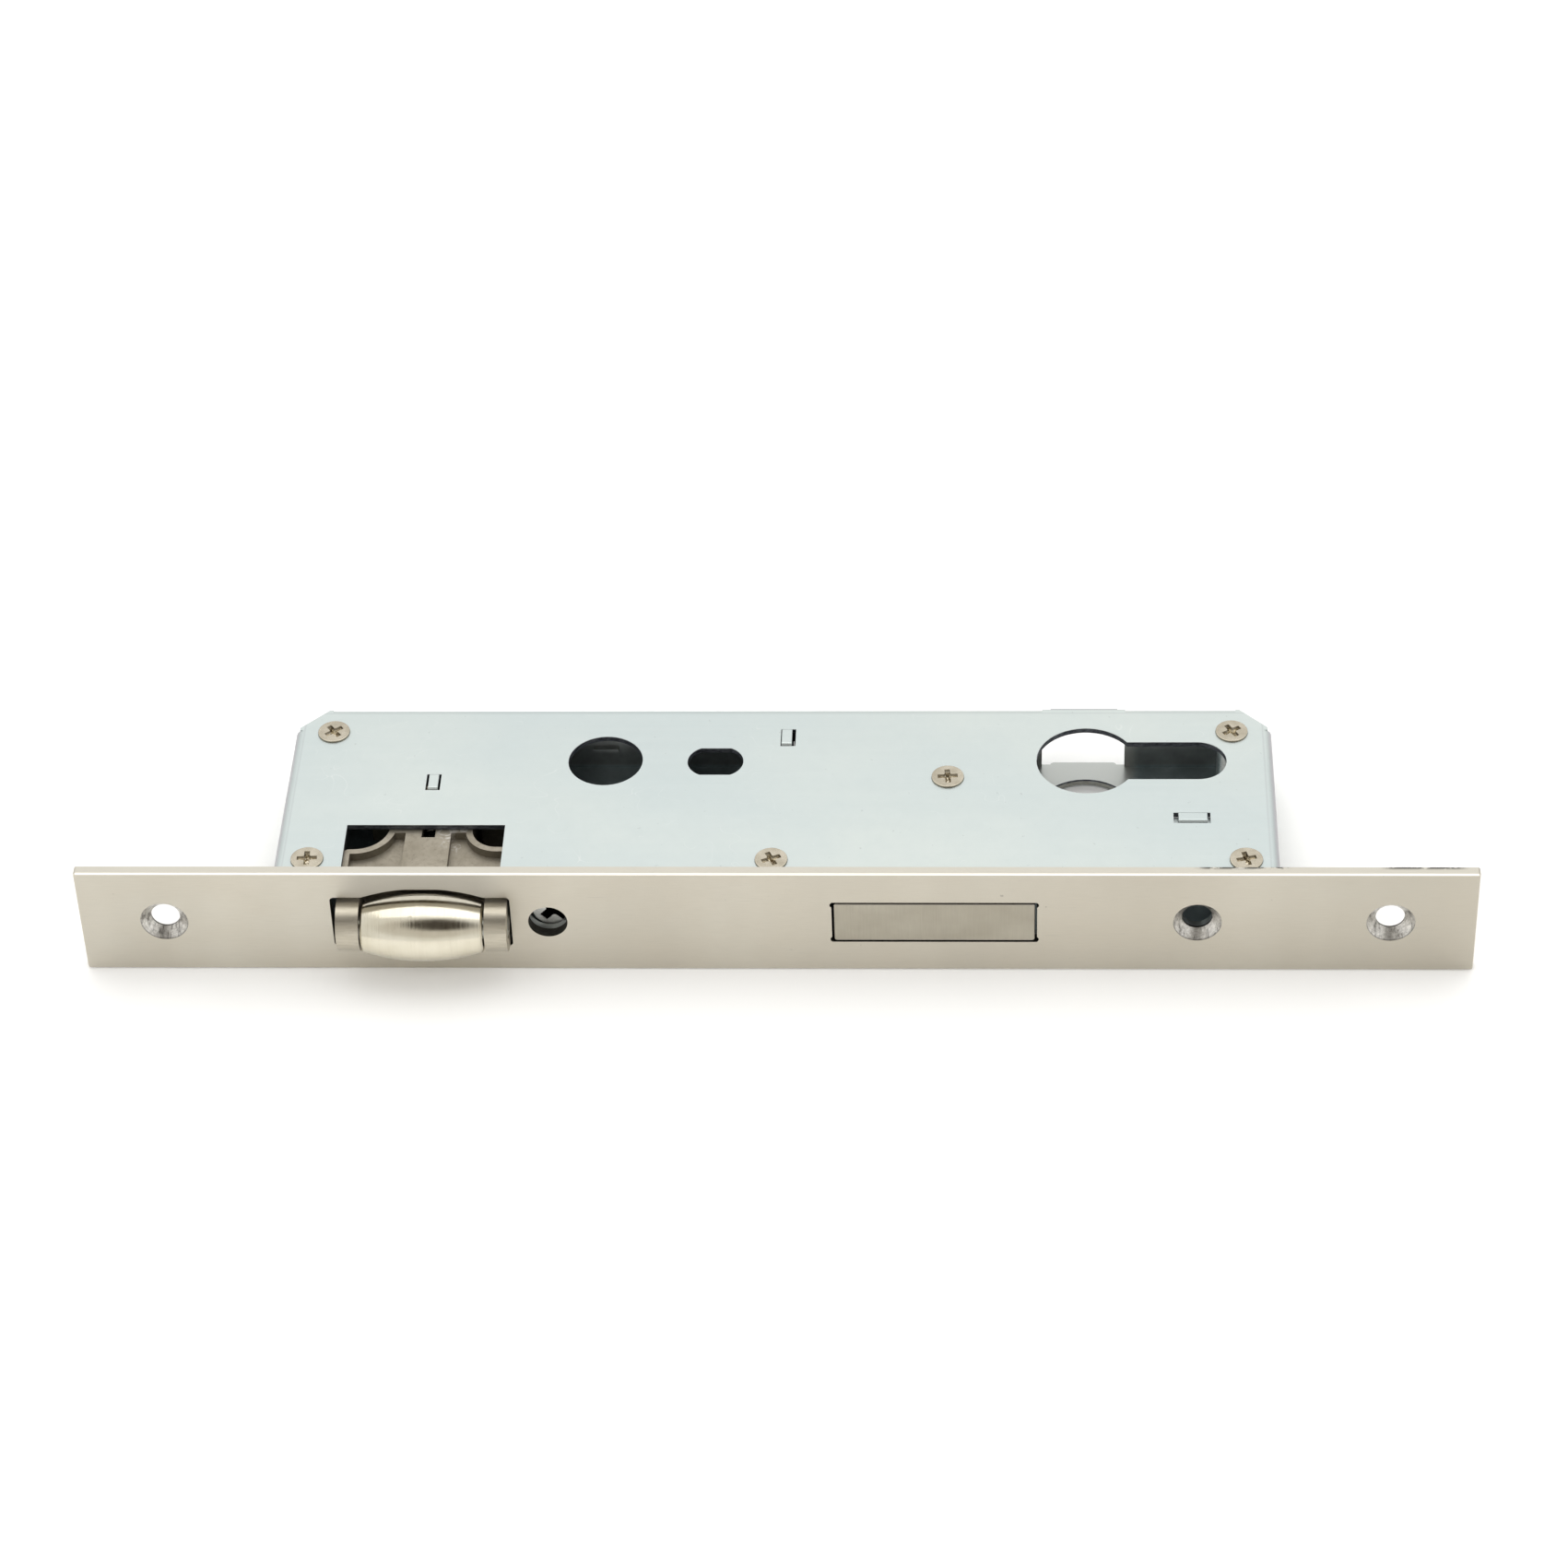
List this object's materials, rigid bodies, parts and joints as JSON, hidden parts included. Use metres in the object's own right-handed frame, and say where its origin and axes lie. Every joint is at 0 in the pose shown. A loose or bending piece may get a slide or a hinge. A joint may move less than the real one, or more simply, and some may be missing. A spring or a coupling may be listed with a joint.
{
  "type": "mortise lock",
  "caption": "Narrow-stile mortise lock: long face plate, slim case, sprung crowned roller latch with adjuster, sliding deadbolt, and openings for a profile cylinder and handle.",
  "frame": {"origin": "centre of the forend's front face, halfway between its two fixing screw holes", "axes": "+X along the forend from the roller latch to the cylinder, +Y into the case, +Z out through the cover"},
  "size_m": [0.2408, 0.0568, 0.022],
  "materials": {
    "forend_nickel": "satin brushed stainless steel",
    "zinc_plate": "bright zinc-plated sheet steel",
    "screw_nickel": "nickel-plated screws",
    "post_steel": "plain turned steel",
    "die_cast": "matt zinc die casting",
    "spring_steel": "spring wire",
    "roller_chrome": "polished nickel with fine turning marks",
    "bolt_nickel": "satin nickel, finely brushed"
  },
  "bodies": {
    "case": {"forend": "forend_nickel", "case_base": "zinc_plate", "case_front_wall": "zinc_plate", "case_side_walls": "zinc_plate", "case_cover": "zinc_plate", "cover_skirts": "zinc_plate", "cover_screws": "screw_nickel", "case_posts": "post_steel", "guide_plate": "zinc_plate", "slide_bracket": "zinc_plate", "screw_steady": "zinc_plate", "adjuster_bracket": "zinc_plate"},
    "adjusting_screw": {"adjusting_screw": "post_steel"},
    "adjuster_nut": {"adjuster_nut": "die_cast"},
    "carriage": {"roller_carriage": "die_cast", "roller_axle": "post_steel", "roller_spring": "spring_steel"},
    "roller": {"roller": "roller_chrome"},
    "deadbolt": {"deadbolt": "bolt_nickel", "bolt_tail": "post_steel", "bolt_rivets": "post_steel"},
    "locking_slide": {"locking_slide": "zinc_plate", "locking_peg": "post_steel", "locking_spring": "spring_steel"}
  },
  "joints": [
    {"name": "adjusting_screw_turn", "type": "hinge", "parent": "case", "child": "adjusting_screw", "pos_m": [-0.0382, 0, 0], "axis": [0, -1, 0], "range_deg": [0, 1350]},
    {"name": "adjuster_slide", "type": "slide", "parent": "case", "child": "adjuster_nut", "axis": [0, 1, 0], "range_m": [0, 0.003]},
    {"name": "roller_latch_slide", "type": "slide", "parent": "adjuster_nut", "child": "carriage", "axis": [0, 1, 0], "range_m": [0, 0.006], "stiffness_N_per_m": 1200, "springref_m": -0.006, "deforming": ["roller_spring"]},
    {"name": "roller_spin", "type": "hinge", "parent": "carriage", "child": "roller", "pos_m": [-0.0605, -0.00135, 0], "axis": [1, 0, 0], "continuous": true},
    {"name": "deadbolt_slide", "type": "slide", "parent": "case", "child": "deadbolt", "axis": [0, -1, 0], "range_m": [0, 0.014]},
    {"name": "locking_slide_travel", "type": "slide", "parent": "case", "child": "locking_slide", "axis": [-1, 0, 0], "range_m": [0, 0.0028], "stiffness_N_per_m": 500, "springref_m": -0.004, "deforming": ["locking_spring"]}
  ],
  "couplings": [
    {"joint": "adjusting_screw_turn", "follows": "adjuster_slide", "rad_per_m": 7854}
  ]
}
